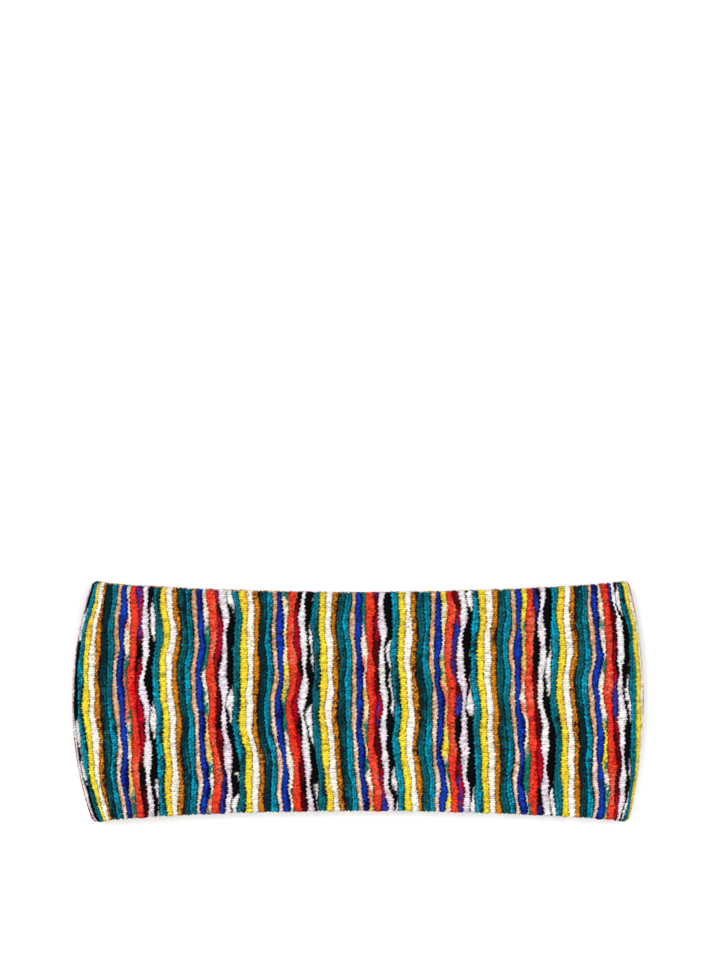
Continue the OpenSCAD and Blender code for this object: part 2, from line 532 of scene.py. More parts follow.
Yarn = namedtuple("Yarn", "name width main partner share sway lean run mixing flecks rim_shade left right")
YARNS = [
    Yarn("teal", 1.12, [CYAN, TEAL], [TEAL, DEEP_TEAL], 0.25, 0.7, 0, 16, 3, 0.1, 0.8, 1, 0.7),
    Yarn("yellow", 1.15, [YELLOW], [GOLD, YELLOW], 0.3, 0.8, 0, 22, 3, 0.1, 0.45, 0.8, 0.25),
    Yarn("ivory", 1.12, [IVORY], [CREAM, IVORY], 0.5, 0.7, 0, 30, 3, 0.08, 0.2, 0.25, 0.4),
    Yarn("amber", 0.9, [AMBER], [BROWN, BROWN, AMBER], 0.35, 0.9, 0, 12, 4, 0.24, 0.6, 0.4, 1),
    Yarn("deep teal", 1.1, [DEEP_TEAL, SEA], [SEA, DEEP_TEAL], 0.1, 0.8, 0, 14, 4, 0.15, 0.85, 1, 1),
    Yarn("cyan", 1.05, [CYAN, CYAN, TEAL], [TEAL, DEEP_TEAL], 0.45, 0.6, 0, 14, 4, 0.16, 0.85, 0.9, 1),
    Yarn("tan", 0.87, [TAN], [BLUSH], 0.3, 0.7, 1.0, 20, 3, 0.12, 0.45, 1, 0.8),
    Yarn("blue", 1.0, [BLUE], [NAVY, NAVY, BLUE], 0.2, 0.8, 0, 14, 4, 0.16, 0.75, 0.8, 1),
    Yarn("motley", 0.8, [YELLOW, CREAM, CORAL, GREEN, PEACH], [CREAM, GREEN, PEACH],
         0.2, 1.5, 0, 13, 1.5, 0.06, 0.4, 0.8, 0.35),
    Yarn("red", 1.3, [RED], [SCARLET, RED, CORAL], 0.4, 0.8, 0, 18, 5, 0.1, 0.5, 0.35, 0.5),
    Yarn("dark", 0.8, [CRIMSON, MAROON, BLACK, INDIGO], [MAROON, BLACK, CRIMSON],
         0.3, 1.1, 0, 15, 1.5, 0.06, 0.5, 0.5, 0.8),
    Yarn("lilac", 1.08, [LILAC, LILAC, WHITE], [LILAC, WHITE], 0.5, 0.9, 0, 24, 3, 0.1, 0.25, 0.8, 0.6),
    Yarn("black", 1.02, [BLACK], [WHITE], 0.95, 2.1, 0, 26, 2, 0, 0.1, 0.6, 1),
]
print(len(YARNS), "yarns:", ", ".join(yarn.name for yarn in YARNS))

# %% [markdown]
# ## The path of every rib
#
# The ribs are not ruled lines. They wander together from rim to rim, and each one swells and thins as
# its yarn does. The borders between ribs are made first: a common waver that neighbours share, and a
# small wander of each border's own. Both fade out at the back seam, where the knit is held straight.

# %% Set out the borders between ribs
draw = np.random.default_rng(11)
RIBS_PER_SIDE = 97
RIBS = 2 * RIBS_PER_SIDE
FIRST_TEAL = 103        # the number of a rib wound in the first yarn
yarn_of = [YARNS[(rib - FIRST_TEAL) % len(YARNS)] for rib in range(RIBS)]


def set_out_borders():
    """Where each border lies along the loop at rest, with the two halves filled from the middle."""
    width = np.array([yarn.width for yarn in yarn_of])
    right = np.cumsum(width[RIBS_PER_SIDE:]) / width[RIBS_PER_SIDE:].sum()
    left = np.cumsum(width[:RIBS_PER_SIDE][::-1]) / width[:RIBS_PER_SIDE].sum()
    return HALF_LOOP * np.concatenate([-left[::-1], [0], right])


borders = set_out_borders()
mean_rib = 2 * HALF_LOOP / RIBS
print(RIBS, "ribs,", round(mean_rib, 2), "mm each on average")

# %% Let neighbouring ribs wander together
COMMON_WAVER = [(47, 150, 0.42, 0.1), (31, -90, 0.32, 0.6), (19, 48, 0.14, 0.3)]
LEAN = 1.4                           # a rib's ends lie this far to either side of its middle, in mm
DRAPE_OVER, DRAPE = 92, 0.7          # the whole band lies in one long curve, slacker on its left
DRAPE_FROM, DRAPE_TO = -30, 70
RIB_SLIDE = {1: 4.5, -1: 6.0}        # at the right and the left fold
SLIDE_NEAR = (0, 16, 80)             # none at the fold, most at 16 mm from it, none from 80 mm on


def spared(g, y):
    """How far the ribs near a fold slide towards it at the rims, so that they bow less than it does."""
    from_fold = APEX - np.abs(g)
    near = np.sign(from_fold) * np.interp(np.abs(from_fold), SLIDE_NEAR, (0, 1, 0))
    return np.where(g < 0, -RIB_SLIDE[-1], RIB_SLIDE[1]) * near * (y / END_H) ** 2


def waver(g, y):
    """How far the ribs at g stand aside at y, alike for neighbours."""
    slack = np.interp(g, (DRAPE_FROM, DRAPE_TO), (DRAPE, DRAPE / 4))
    total = spared(g, y) - LEAN * y / END_H - slack * np.cos(math.tau * y / DRAPE_OVER)
    for over_y, over_g, size, start in COMMON_WAVER:
        total = total + size * np.sin(math.tau * (y / over_y + g / over_g + start))
    return total


print("at the rims, ribs slide up to", RIB_SLIDE[1], "mm on the right and", RIB_SLIDE[-1], "mm on the left")

# %% Let every border wander by itself
WAVES = ((1, 0.6), (0.53, 0.35), (0.29, 0.2))     # each wave's share of the distance, and its size


def wander(at, over):
    """A smooth value, about -1 to 1, that changes over that distance."""
    total = 0
    for ratio, size in WAVES:
        wave = over * ratio * draw.uniform(0.8, 1.25)
        total = total + size * np.sin(math.tau * (at / wave + draw.uniform()))
    return total


Y_STEPS = np.linspace(-END_H - 1, END_H + 1, 400)
RESTLESS = ("motley", "dark", "black", "lilac")
CALM_WAVER, RESTLESS_WAVER = 0.48, 0.78
WAVER_OVER = 28
own_waver = np.array([
    (RESTLESS_WAVER if yarn.name in RESTLESS else CALM_WAVER) * wander(Y_STEPS, WAVER_OVER)
    for yarn in [*yarn_of, yarn_of[0]]
])
SEAM_HOLD = 26          # the seam holds the ribs straight over this distance
held = np.clip((HALF_LOOP - np.abs(borders)) / SEAM_HOLD, 0, 1)
border_at = borders[:, None] + held[:, None] * (own_waver + waver(borders[:, None], Y_STEPS))
print("narrowest rib:", round(float(np.diff(border_at, axis=0).min()), 2), "mm")

# %% [markdown]
# ## Winding a rib
#
# A rib is a row of small loops: lay after lay of yarn goes straight across it, each
# lay a little proud of the gap to the next. The lays reach over the neighbouring rib by turns, which
# gives the borders their toothed look. So a rib is a tube along the turned path with two rings to each
# lay, one on its crest and one in the gap. The dye, with shade painted into the gaps, pits and grooves,
# is worked out lay by lay and carried by the points.

# %% The section of a rib
FACE_ROWS, TURN_ROWS, HEM_ROWS = 98, 10, 12
ACROSS = np.array([-1, -0.82, -0.5, 0, 0.5, 0.82, 1])
DIP = np.array([1, 0.45, 0.09, 0, 0.09, 0.45, 1])          # how far down the groove each point lies
TWIN_DIP = np.array([1, 0.38, 0.06, 0.6, 0.06, 0.38, 1])   # a twin rib has a groove down its middle too
TWINS = ("teal", "deep teal", "cyan")
GROOVE = 0.8            # the share of a rib's height that a full groove takes
ROOTS = np.array([0.8, -0.8])
ROOT_DEPTH = 0.14
SPREAD = np.concatenate([ACROSS, ROOTS])


def dip_of(yarn):
    """How far down its grooves each point of a rib's face lies, from 0 to 1."""
    dip = TWIN_DIP if yarn.name in TWINS else DIP
    return dip * np.where(ACROSS < -0.3, yarn.left, np.where(ACROSS > 0.3, yarn.right, 1))


print("a rib has", len(SPREAD), "points round it")

# %% Dye one rib
LAY_L = 0.85            # length of one lay along the rib
SOFT_FADE, QUICK_FADE = 7, 3    # a calm and a restless yarn's tones fade over this many lays
# Painted shade darkens a lay's ends in the gap to the next lay, points in pits between loops, and grooves.
GAP_SHADE = 0.66        # how dark a lay's ends are in the gap to the next lay
PITS = 0.09             # the share of points that lie in a pit between loops
PIT_SHADE = 0.5
LINE_WANDER = 1.6       # the line between two tones wanders over this many runs
LINE_JITTER, LINE_SOFT = 0.2, 0.3
LAY_UNEVEN, POINT_UNEVEN = 0.12, 0.09           # how unevenly lays and points take the dye
LAY_END_FROM, LAY_END_OVER = 0.5, 0.32          # a lay's end, across the rib
LAY_END_PALE = 0.3      # the share of that shade that is left where a rib has no groove
SHADE_POWER = 0.8       # a groove darkens quickly at its edge


def dye_runs(tones, lays, yarn):
    """The tone of every lay, as a yarn that changes tone about every run of lays, over a few mixed lays."""
    run_lays = yarn.run / LAY_L
    count = int(lays / run_lays * 2) + 4
    picked = draw.integers(len(tones), size=count)
    ends = np.cumsum(run_lays * draw.uniform(0.4, 1.6, count))
    mixed = np.arange(lays) + draw.normal(0, yarn.mixing, lays)
    run = np.array(tones)[picked[np.minimum(np.searchsorted(ends, mixed), count - 1)]]
    fade = QUICK_FADE if yarn.name in RESTLESS else SOFT_FADE
    padded = np.pad(run, ((fade // 2, fade // 2), (0, 0)), mode="edge")
    return sum(padded[i:i + lays] for i in range(fade)) / fade


def dye_and_shade_rib(yarn, y):
    """The colour at every point of a rib: its main and partner tones, and painted shade."""
    lays = len(y) // 2 + 2
    lay = np.arange(len(y)) // 2
    main = dye_runs(yarn.main, lays, yarn)[lay][:, None]
    partner = dye_runs(yarn.partner, lays, yarn)[lay][:, None]
    line = yarn.share + yarn.sway * wander(np.arange(lays) * LAY_L, yarn.run * LINE_WANDER)
    line = line + draw.normal(0, LINE_JITTER, lays)
    line = line[lay] + yarn.lean * y / END_H
    mixed = np.clip((SPREAD - line[:, None]) / LINE_SOFT + 0.5, 0, 1)
    mixed = np.where(draw.random(mixed.shape) < yarn.flecks, 1 - mixed, mixed)[..., None]
    # How evenly the dye took, then shade painted into the pits, on a lay's ends in the gap and in the
    # grooves.
    uptake_and_shade = (1 + draw.normal(0, LAY_UNEVEN, lays))[lay][:, None]
    uptake_and_shade = uptake_and_shade + draw.normal(0, POINT_UNEVEN, mixed.shape[:2])
    uptake_and_shade = np.where(draw.random(uptake_and_shade.shape) < PITS, PIT_SHADE * uptake_and_shade, uptake_and_shade)
    low = np.concatenate([dip_of(yarn), [1, 1]])
    lay_end = np.clip((np.abs(SPREAD) - LAY_END_FROM) / LAY_END_OVER, 0, 1)
    lay_end = lay_end * (LAY_END_PALE + (1 - LAY_END_PALE) * low)
    in_gap = (np.arange(len(y)) % 2 == 0)[:, None] * lay_end
    uptake_and_shade = uptake_and_shade * (1 - GAP_SHADE * in_gap) * (1 - yarn.rim_shade * low**SHADE_POWER)
    colour = np.clip((main * (1 - mixed) + partner * mixed) * uptake_and_shade[..., None], 0, 1)
    return np.concatenate([colour, np.ones((*colour.shape[:2], 1))], -1)


print("tones fade over", round(SOFT_FADE * LAY_L, 1), "mm")

# %% Wind one rib
GAP_DIP = 0.13          # the gap between two lays lies lower by this share
REACH_OVER = 0.26       # a lay reaches this far over the next rib, by turns left and right
CREST_WIDTH, GAP_WIDTH = 1.14, 0.84
WIDTH_JITTER, REACH_JITTER = 0.05, 0.15
ROOT_REACH = 0.2        # the roots follow this share of a lay's reach
SLANT, SLANT_JITTER = 0.04, 0.15
SLANT_END, SLANT_FADE = 4, 3                    # lays lie square again this near the rim, in mm
ROW_L = LAY_L / 2
LEAST_WIDTH = 1.1
SWELL, SWELL_OVER, LAY_SWELL = 0.07, 30, 0.045
SLIM_BASE, SLIM_GAIN, SLIMMEST = 0.86, 0.14, 0.8    # a slim yarn makes a lower rib
HIGHEST = 1.02
HEM_END_FROM, HEM_END_DROP = 0.9, 0.5           # the hem's cut end is pressed flat


def heights_along(yarn_width, path):
    """A rib's height at each row, with its swells, its gaps and the flatter hem."""
    rows = len(path.face)
    swell = 1 + SWELL * wander(np.arange(rows) * ROW_L, SWELL_OVER) + draw.normal(0, LAY_SWELL, rows)
    flatter = 1 - (1 - HEM_RIB) * path.angle / math.pi
    gap = (np.arange(rows) % 2 == 0) * GAP_DIP
    fullness = np.clip(SLIM_BASE + SLIM_GAIN * yarn_width, SLIMMEST, 1)
    height = RIB_H * flatter * fullness * swell * (1 - gap)
    hem_end = HEM_END_DROP * np.clip((path.hem - HEM_END_FROM) / 0.1, 0, 1)
    return np.minimum(height, RIB_H * HIGHEST) * (1 - hem_end)


def wind_rib(rib, path):
    """A rib's rings of points on the strip, and the colour and lay that each point carries."""
    yarn = yarn_of[rib]
    middle = (borders[rib] + borders[rib + 1]) / 2
    rows = len(path.face)
    row = np.arange(rows)
    crest = row % 2
    height = heights_along((borders[rib + 1] - borders[rib]) / mean_rib, path)
    rise = height[:, None] * (1 - GROOVE * dip_of(yarn))
    rise = np.concatenate([rise, np.full((rows, 2), -ROOT_DEPTH)], 1)
    turned = Turn(*(value[:, None] for value in path))
    y, depth = across_band(turned, middle, rise)
    base_y, _ = across_band(path, middle, 0)
    left = np.interp(base_y, Y_STEPS, border_at[rib])
    right = np.interp(base_y, Y_STEPS, border_at[rib + 1])
    centre, half = (left + right) / 2, np.maximum(right - left, LEAST_WIDTH) / 2
    half = half * (GAP_WIDTH + (CREST_WIDTH - GAP_WIDTH + draw.normal(0, WIDTH_JITTER, rows)) * crest)
    lay_side = np.where(row // 2 % 2 == 0, 1, -1) * REACH_OVER + draw.normal(0, REACH_JITTER, rows)
    aside = (lay_side * crest)[:, None] * np.concatenate([np.abs(ACROSS), [ROOT_REACH, ROOT_REACH]])
    g = centre[:, None] + half[:, None] * SPREAD + aside
    slant = draw.normal(SLANT, SLANT_JITTER, rows)[:, None] * SPREAD * (path.hem == 0)[:, None]
    y = y + slant * np.clip((half_height(middle) - SLANT_END - np.abs(y)) / SLANT_FADE, 0, 1)
    lay = np.stack(np.broadcast_arrays(SPREAD, (row / 2)[:, None], float(rib)), -1)
    return on_loop(g, y, depth), dye_and_shade_rib(yarn, base_y), lay


print("lays reach", REACH_OVER, "mm over the next rib")

# %% [markdown]
# ## The looped yarn
#
# The yarn is soft and dull: fine threads show within every lay, and shade is painted where two lays or two
# ribs meet. The points already carry the dye and that painted shade, so the finish only adds threads with
# a painted highlight on their crests, painted shade in the gaps and a painted mottle of light and shade
# that is strong on dark yarns and faint on pale ones, as it is where loops stand open to the light. Its
# gloss is kept very weak, so that the black yarns stay black.

# %% Finish of the ribs
ribbed = Finish("ribbed_knit", Specular_IOR_Level=0.06)
across, place = ribbed.across_and_along("lay")
threads = (place * 3 + across * 0.45).sine()
gap = 1 - (place + 0.75).sine()
# The points carry the dye with its painted shade.
dyed_and_shaded = ribbed.given("dye", "Color")
lightness = ribbed.node("ShaderNodeRGBToBW", {}, {"Color": dyed_and_shaded})
mottle = ribbed.ramp(ribbed.noise("lay", (2.2, 1.1, 5.1), 3), 0.36, 0.64)
painted_mottle_depth = 1.1 - 0.95 * lightness
# Painted highlight on the thread crests, painted shade in the gaps, and a painted mottle of light and
# shade.
shade = (0.73 + 0.16 * threads) * (1 - 0.14 * gap) * (1 + painted_mottle_depth * (mottle - 0.5))
yarn_colour = ribbed.mix(1, dyed_and_shaded, shade, "MULTIPLY")
ribbed_finish = ribbed.finish_with(yarn_colour, 0.55 + 0.2 * mottle, threads * 0.6 + mottle * 0.6, 0.00012)
print("ribbed finish:", len(ribbed.tree.nodes), "nodes")

# %% [markdown]
# ## Knitting the ribs onto the band
#
# All ribs are wound in order, so that the dye runs are the same at every making, and then gathered
# into the lengths that bend together. At the side folds a rib is wound as two halves that meet at half
# height.

# %% Wind all the ribs
whole_path = turned_path(FACE_ROWS, TURN_ROWS, HEM_ROWS, True, True)
half_rows = FACE_ROWS + TURN_ROWS + HEM_ROWS
wound = [wind_rib(rib, whole_path) for rib in range(RIBS)]
RING = len(SPREAD)


def ribs_of(length):
    """The numbers of the ribs whose middles lie on a length."""
    middles = length.side * (borders[1:] + borders[:-1]) / 2
    return [rib for rib in range(RIBS) if length.start <= middles[rib] < length.stop]


def rows_of(length):
    """The rows of a rib that lie on a length."""
    return {0: slice(None), 1: slice(half_rows, None), -1: slice(0, half_rows + 1)}[length.half]


for length in LENGTHS:
    chosen = [[layer[rows_of(length)] for layer in wound[rib]] for rib in ribs_of(length)]
    points, colours, lays = (np.concatenate([rib[i] for rib in chosen]) for i in range(3))
    rows = len(chosen[0][0])
    one_rib = tube_faces(rows, RING, [range(RING)])
    faces = [[i + n * rows * RING for i in face] for n in range(len(chosen)) for face in one_rib]
    # The points carry the dye together with its painted shade.
    piece = make_piece(f"ribs_{length.name}", points, faces, ribbed_finish, dye=colours, lay=lays)
    bend(piece, length)
    stand_for(length, "outer_knit_")

# %% [markdown]
# ## The ground knit
#
# Behind the ribs runs a fine dark knit that ties them together. It shows only as dark ticks between
# the ribs and as a smooth layer inside the hem. It is a thin closed sheet on the same turned path as
# the ribs, with rows of small stitches in its finish.

# %% Finish of the ground knit


LEG_SLANT = 1.3        # how steeply a stitch's two legs lean together


def stitches(finish, name):
    """Interlocked V stitches, one per unit of the mesh's knit vector: 1 on a leg's crest, 0 between."""
    wale, course = finish.across_and_along(name)
    leg = (wale.part() - 0.5).size()
    slanted = (course + leg * LEG_SLANT).part() - 0.5
    height = 1 - slanted.size() * slanted.size() * 4
    open_side = finish.ramp(leg, 0.5, 0.36) * finish.ramp(leg, 0.02, 0.12)
    return height * open_side


ground = Finish("ground_knit", Sheen_Weight=0.1, Specular_IOR_Level=0.3)
ground_stitch = stitches(ground, "knit")
ground_mottle = ground.noise("knit", (0.9, 0.9, 1))
# Lighter on the stitches' legs and darker in the hollows between them: painted shade.
ground_colour = ground.mix(ground_stitch, (0.006, 0.008, 0.011, 1), (0.03, 0.045, 0.055, 1))
ground_finish = ground.finish_with(ground_colour, 0.7 + 0.2 * ground_mottle, ground_stitch, 0.0002)
print("ground finish:", len(ground.tree.nodes), "nodes")

# %% Knit the ground
GROUND_STITCH = (1.1, 0.9)    # a stitch's width along the loop and height across it
GROUND_STEP = 1.25
GROUND_ROWS = (30, 8, 4)      # on the face, round the rim and down the hem


def knit_vector(g, y, stitch):
    """Numbers that grow by one from stitch to stitch."""
    g, y = np.broadcast_arrays(g, y)
    return np.stack([g / stitch[0], y / stitch[1], 0 * g], -1)


for length in LENGTHS:
    g = tidy_range(length, GROUND_STEP)[:, None]
    path = turned_path(*GROUND_ROWS, length.half <= 0, length.half >= 0)
    outer_y, outer_depth = across_band(path, g, 0)
    inner_y, inner_depth = across_band(path, g, -GROUND_T)
    steps = np.hypot(np.diff(outer_y, axis=1), np.diff(outer_depth + 0 * outer_y, axis=1))
    run = np.pad(np.cumsum(steps, 1), ((0, 0), (1, 0)))
    piece = slab_piece(f"ground_{length.name}", on_loop(g, outer_y, outer_depth),
                       on_loop(g, inner_y, inner_depth), ground_finish, knit_vector(g, run, GROUND_STITCH))
    bend(piece, length)
    stand_for(length, "outer_knit_")
    flat = (flat_length(length, FACE_DEPTH) * MM, float(run[:, -1].mean()) * MM)
print("ground knit strip:", round(strip_length(FACE_DEPTH)), "mm long")

# %% [markdown]
# ## The jersey lining
#
# The inside is lined with plain jersey, which feels soft on the brow. Its wales show as fine ridges, so
# they are shaped in the mesh, and the V stitches come from the finish. At each rim it thins out and
# tucks under the hem.

# %% Finish of the lining
jersey = Finish("jersey_lining", Sheen_Weight=0.08, Sheen_Roughness=0.5, Specular_IOR_Level=0.15)
jersey_stitch = stitches(jersey, "knit")
jersey_mottle = jersey.noise("knit", (0.35, 0.35, 1), 3)
jersey_light = jersey.mix(jersey_mottle, (0.018, 0.085, 0.1, 1), (0.03, 0.12, 0.135, 1))
# Lighter on the stitches' legs and darker in the hollows between them: painted shade.
jersey_colour = jersey.mix(jersey_stitch, (0.005, 0.022, 0.028, 1), jersey_light)
jersey_finish = jersey.finish_with(jersey_colour, 0.72 + 0.15 * jersey_mottle, jersey_stitch, 0.00035)
print("jersey finish:", len(jersey.tree.nodes), "nodes")

# %% Lay in the lining
JERSEY_STITCH = (1.8, 1.35)
LINING_OUTER, LINING_INNER = 2.05, 2.82
LINING_MIDDLE = (LINING_OUTER + LINING_INNER) / 2
TUCK_OUTER, TUCK_INNER = 2.34, 2.66
TUCK_FROM_RIM, TUCK_L = 7.0, 1.8
WALE_H = 0.13
LINING_ROWS = {0: 49, 1: 25, -1: 25}      # of points across a whole length and across a half
for length in LENGTHS:
    g = tidy_range(length, JERSEY_STITCH[0] / 4)[:, None]
    lowest, highest = -1 if length.half <= 0 else 0, 1 if length.half >= 0 else 0
    share = np.linspace(lowest, highest, LINING_ROWS[length.half])
    edge_y = half_height(g) - TUCK_FROM_RIM
    y = share * edge_y
    tuck = np.clip(1 - (edge_y - np.abs(y)) / TUCK_L, 0, 1) ** 2
    wale = WALE_H * np.abs(np.sin(math.pi * g / JERSEY_STITCH[0])) * (1 - tuck)
    outer = on_loop(g, y, LINING_OUTER + (TUCK_OUTER - LINING_OUTER) * tuck)
    inner = on_loop(g, y, LINING_INNER + wale + (TUCK_INNER - LINING_INNER) * tuck)
    knit = knit_vector(g, y, JERSEY_STITCH)
    piece = slab_piece(f"jersey_{length.name}", outer, inner, jersey_finish, knit)
    bend(piece, length, INNER_FOLD)
    stand_for(length, "lining_")
    flat = (flat_length(length, LINING_MIDDLE) * MM, float((y[:, -1] - y[:, 0]).mean()) * MM)
lining_size = round(strip_length(LINING_MIDDLE)), round(2 * (WAIST_H - TUCK_FROM_RIM))
print("lining strip:", lining_size[0], "by", lining_size[1], "mm at the waist")

# %% [markdown]
# ## Elastic in the rims
#
# A flat braided elastic lies inside each turned rim and draws it in. It never shows on a finished
# headband, but it is there when the hem is opened, so it is made too, with its braid in the finish.

# %% Finish of the elastic
braid = Finish("elastic_tape", Specular_IOR_Level=0.4)
braid_g, braid_y = braid.across_and_along("knit")
plait = (braid_g + braid_y).sine() * (braid_g - braid_y).sine()
# Lighter on the plait's crests and darker in its hollows: painted shade.
braid_colour = braid.mix(plait, (0.5, 0.49, 0.45, 1), (0.82, 0.81, 0.77, 1))
braid_finish = braid.finish_with(braid_colour, 0.55 + 0.2 * plait, plait, 0.00015)
print("braid finish:", len(braid.tree.nodes), "nodes")

# %% Thread the elastic through both rims
BRAID = (1.4, 1.4)
TAPE_DEPTHS = (1.94, 2.3)
TAPE_EDGES = (2.25, 7.9)     # from the rim
TAPE_STEP, TAPE_ROWS = 2.4, 6
for length in LENGTHS:
    g = tidy_range(length, TAPE_STEP)[:, None]
    for half, rim in ((1, "upper"), (-1, "lower")):
        if length.half in (0, half):
            y = half * (half_height(g) - np.linspace(TAPE_EDGES[1], TAPE_EDGES[0], TAPE_ROWS))
            outer, inner = (on_loop(g, y, depth) for depth in TAPE_DEPTHS)
            knit = knit_vector(g, y, BRAID)
            piece = slab_piece(f"elastic_{rim}_{length.name}", outer, inner, braid_finish, knit)
            bend(piece, length, INNER_FOLD)
            stand_for(length, "rim_elastic_")
print("elastic tape:", round(TAPE_EDGES[1] - TAPE_EDGES[0], 2), "mm wide")

# %% [markdown]
# ## Hem thread
#
# A zigzag of black thread holds each hem down: one stitch lands on the hem's ribs, the next on the
# lining. A thread is a thin tube along its own path, with its twist in the finish.

# %% Finish and shape of sewing thread


def thread_finish(name, gloss, twists, dark, light, unevenness, height):
    """The finish of a thread with that many twists to the millimetre, with painted shade in its twist."""
    thread = Finish(name, Specular_IOR_Level=gloss)
    round_it, along_it = thread.across_and_along("knit")
    twist = (along_it * twists + round_it).sine()
    return thread.finish_with(thread.mix(twist, dark, light), 0.5 + unevenness * twist, twist, height)


# The dark tone of a thread is its painted shade in the twist.
SPUN_DARK, SPUN_LIGHT = (0.006, 0.006, 0.008, 1), (0.035, 0.035, 0.04, 1)
spun_finish = thread_finish("sewing_thread", 0.45, 1.6, SPUN_DARK, SPUN_LIGHT, 0.15, 0.00006)
THREAD_R = 0.17
THREAD_SIDES = 6
OFF_AXIS = (0.123, 0.271, 0.955)      # a direction that no thread runs along


def thread_tube(path, radius=THREAD_R):
    """Rings of points round a path in space, and the place round and along the thread of each."""
    along = np.gradient(path, axis=0)
    along = along / np.linalg.norm(along, axis=1, keepdims=True)
    side = np.cross(along, OFF_AXIS)
    side = side / np.linalg.norm(side, axis=1, keepdims=True)
    up = np.cross(side, along)
    turn = np.arange(THREAD_SIDES) * math.tau / THREAD_SIDES
    outward = np.cos(turn)[:, None] * side[:, None] + np.sin(turn)[:, None] * up[:, None]
    rings = path[:, None] + radius * outward
    gone = np.cumsum(np.linalg.norm(np.gradient(path, axis=0), axis=1))
    carried = np.stack(np.broadcast_arrays(turn / math.tau, gone[:, None], 0.0), -1)
    return rings, carried


def thread_piece(name, paths, finish, radius=THREAD_R):
    """One piece from several lengths of thread with the same number of points."""
    tubes = [thread_tube(path, radius) for path in paths]
    one = tube_faces(len(paths[0]), THREAD_SIDES, [range(THREAD_SIDES)])
    step = len(paths[0]) * THREAD_SIDES
    faces = [[i + n * step for i in face] for n in range(len(paths)) for face in one]
    points, carried = (np.concatenate([tube[i] for tube in tubes]) for i in range(2))
    return make_piece(name, points, faces, finish, knit=carried)


print("thread is", 2 * THREAD_R, "mm thick")

# %% Sew the hems
ZIGZAG = 1.9            # length of one zig and zag along the loop
ZIG_ON_HEM, ZAG_ON_LINING = 0.9, 1.0
HEM_FROM_RIM = TIP + HEM_L
HEM_TOP, LINING_TOP = 4.05, 3.12
ZIG_POINTS = 8
LIFT_STEEP, LIFT_EARLY = 1.6, 0.4      # the thread climbs steeply at the hem's edge
for length in LENGTHS:
    zigs = round((length.stop - length.start) / ZIGZAG)
    turn = np.linspace(0, 1, zigs * ZIG_POINTS + 1)
    g = length.side * (length.start + (length.stop - length.start) * turn)
    swing = np.cos(math.tau * zigs * turn)
    lift = np.clip(swing * LIFT_STEEP + LIFT_EARLY, 0, 1)
    aside = np.where(swing > 0, swing * ZIG_ON_HEM, swing * ZAG_ON_LINING)
    depth = LINING_TOP + (HEM_TOP - LINING_TOP) * lift
    paths = [
        on_loop(g, half * (half_height(g) - HEM_FROM_RIM + aside), depth)
        for half in (1, -1) if length.half in (0, half)
    ]
    piece = thread_piece(f"hem_zigzag_{length.name}", paths, spun_finish)
    bend(piece, length)
    stand_for(length, "hem_thread_")
print("hem zigzag every", ZIGZAG, "mm")

# %% [markdown]
# ## The back seam
#
# The knitted strip is closed into a loop by one seam at the back. Inside, its two raw ends are pressed
# open and overcast, so that they neither fray nor rub. The ends are the wrong side of the rib knit: its
# yarns show in streaks between dark stitches.

# %% Finish of the seam ends
raw = Finish("seam_knit", Sheen_Weight=0.15, Specular_IOR_Level=0.3)
raw_stitch = stitches(raw, "knit")
raw_streak = raw.noise("knit", (1.1, 0.12, 1), 2)
raw_yarn = raw.mix(raw.ramp(raw_streak, 0.42, 0.58), (0.03, 0.16, 0.19, 1), (0.32, 0.27, 0.2, 1))
raw_colour = raw.mix(raw_stitch, (0.01, 0.015, 0.018, 1), raw_yarn)
raw_finish = raw.finish_with(raw_colour, 0.7 + 0.2 * raw_streak, raw_stitch, 0.0003)
print("seam end finish:", len(raw.tree.nodes), "nodes")

# %% Press the seam open
_, leaf_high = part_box("seam_allowance")
LEAF_W = leaf_high.x / MM
LEAF_H = min(leaf_high.y / MM, WAIST_H - HEM_FROM_RIM - 1.2)
LEAF_FOOT = LINING_INNER + WALE_H + 0.03
LEAF_T = 0.55
SEAM_GAP = 0.2
FRAYS = ((0.22, 1.7), (0.12, 4.3))    # how far the raw edge frays, and how often per mm
CURL, ROUNDING = 0.22, 0.2            # the raw edge lifts off the lining, and its corners are worn round
ROUND_FROM = 0.6
for side, hand in ((1, "right"), (-1, "left")):
    along = np.linspace(-LEAF_H, LEAF_H, 90)[None]
    over = np.linspace(0, 1, 9)[:, None]
    (wide, slow), (fine, quick) = FRAYS
    raw_edge = LEAF_W + wide * np.sin(along * slow + side) + fine * np.sin(along * quick)
    x = SEAM_GAP + over * (raw_edge - SEAM_GAP)
    curl = CURL * over**3 * (1 + 0.5 * np.sin(along * 0.6 + side))
    rounding = ROUNDING * np.maximum(np.abs(2 * over - 1) - ROUND_FROM, 0) / (1 - ROUND_FROM)
    top_depth = LEAF_FOOT + LEAF_T + curl - rounding + 0 * x
    foot_depth = LEAF_FOOT + curl * 0.6 + 0 * x
    leaf_knit = knit_vector(x, along, GROUND_STITCH)
    foot, face = (np.stack(np.broadcast_arrays(side * x, along, d), -1) for d in (foot_depth, top_depth))
    leaf = slab_piece(f"seam_allowance_{hand}", foot, face, raw_finish, leaf_knit)
    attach(leaf, "back_centre")
    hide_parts("seam_allowance")
print("seam ends:", round(LEAF_W - SEAM_GAP, 2), "mm wide and", round(2 * LEAF_H, 1), "mm high")

# %% [markdown]
# ## Overcast stitches
#
# Short stitches cross the seam from one end to the other, and a looping overcast binds each raw edge.

